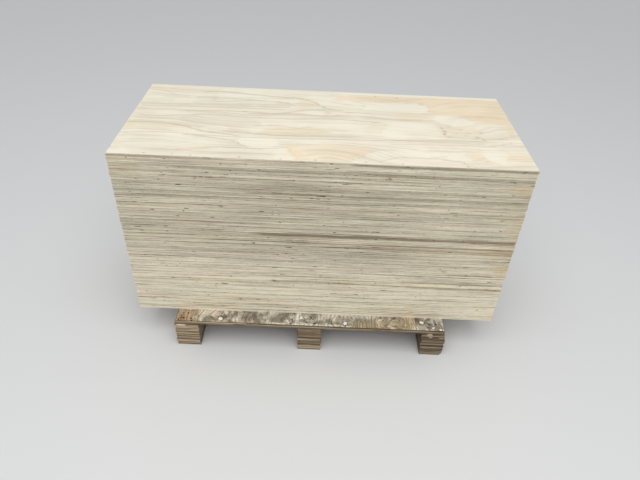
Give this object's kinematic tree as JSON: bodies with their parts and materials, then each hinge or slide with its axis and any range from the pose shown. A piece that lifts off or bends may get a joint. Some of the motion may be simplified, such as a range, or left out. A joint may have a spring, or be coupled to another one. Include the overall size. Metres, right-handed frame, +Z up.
{
  "type": "stack of plywood sheets on a pallet",
  "caption": "Stack of plywood sheets cut to one size, lying on a low pallet whose plywood deck rests on runners of layered plywood strips, open below for forks.",
  "frame": {"origin": "on the floor, midway along the stack and midway between the pallet's front and rear edges", "axes": "+X along the long side of the sheets, +Y from the front to the back, +Z up"},
  "size_m": [1.2226, 0.6168, 0.72],
  "materials": {
    "sheet_plywood": "sawn plywood edge, veneers in pale and darker lines",
    "top_sheet_plywood": "unsanded rotary-cut pine face veneer",
    "deck_plywood": "weathered rough plywood face",
    "runner_plywood": "weathered sawn plywood strips",
    "nail_steel": "dark weathered nail heads"
  },
  "bodies": {
    "root": {"sheet_01": "sheet_plywood", "sheet_02": "sheet_plywood", "sheet_03": "sheet_plywood", "sheet_04": "sheet_plywood", "sheet_05": "sheet_plywood", "sheet_06": "sheet_plywood", "sheet_07": "sheet_plywood", "sheet_08": "sheet_plywood", "sheet_09": "sheet_plywood", "sheet_10": "sheet_plywood", "sheet_11": "sheet_plywood", "sheet_12": "sheet_plywood", "sheet_13": "sheet_plywood", "sheet_14": "sheet_plywood", "sheet_15": "sheet_plywood", "sheet_16": "sheet_plywood", "sheet_17": "sheet_plywood", "sheet_18": "sheet_plywood", "sheet_19": "sheet_plywood", "sheet_20": "sheet_plywood", "sheet_21": "sheet_plywood", "sheet_22": "sheet_plywood", "sheet_23": "sheet_plywood", "sheet_24": "sheet_plywood", "sheet_25": "sheet_plywood", "sheet_26": "sheet_plywood", "sheet_27": "sheet_plywood", "sheet_28": "sheet_plywood", "sheet_29": "sheet_plywood", "sheet_30": "sheet_plywood", "sheet_31": "sheet_plywood", "sheet_32": "sheet_plywood", "sheet_33": "sheet_plywood", "sheet_34": "sheet_plywood", "sheet_35": "sheet_plywood", "sheet_36": "sheet_plywood", "sheet_37": "sheet_plywood", "sheet_38": "sheet_plywood", "sheet_39": "sheet_plywood", "sheet_40": "top_sheet_plywood", "pallet_deck": "deck_plywood", "runner_strips_1": "runner_plywood", "runner_strips_2": "runner_plywood", "runner_strips_3": "runner_plywood", "runner_strips_4": "runner_plywood", "runner_strips_5": "runner_plywood", "runner_strips_6": "runner_plywood", "runner_strips_7": "runner_plywood"}
  },
  "joints": []
}
